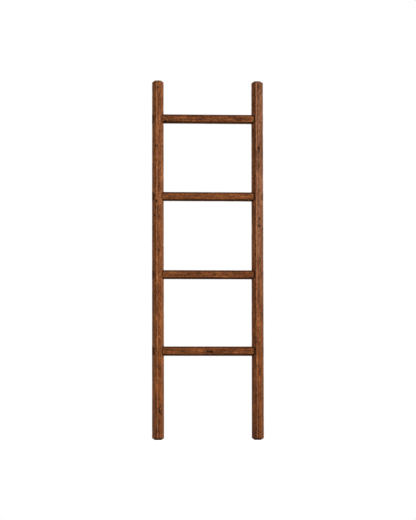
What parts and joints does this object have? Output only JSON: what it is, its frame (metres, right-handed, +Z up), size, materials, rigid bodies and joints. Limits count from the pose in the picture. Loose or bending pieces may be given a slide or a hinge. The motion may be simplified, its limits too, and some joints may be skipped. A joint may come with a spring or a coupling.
{
  "type": "blanket ladder",
  "caption": "Tall leaning ladder of stained, distressed wood with chamfered posts and through-tenoned rungs, for hanging blankets or towels.",
  "frame": {"origin": "on the floor, midway between the two feet, under the middle of the posts' thickness", "axes": "+Z up along the posts, -Y the front that faces the room, +Y the side that leans on a wall, +X to the right seen from the front"},
  "size_m": [0.4734, 0.0494, 1.524],
  "materials": {
    "post_wood": "satin stained and distressed",
    "rung_wood": "satin stained and distressed",
    "nail_steel": "plain drawn wire"
  },
  "bodies": {
    "root": {"left_post": "post_wood", "right_post": "post_wood", "top_rung": "rung_wood", "upper_rung": "rung_wood", "lower_rung": "rung_wood", "bottom_rung": "rung_wood", "joint_nails": "nail_steel"}
  },
  "joints": []
}
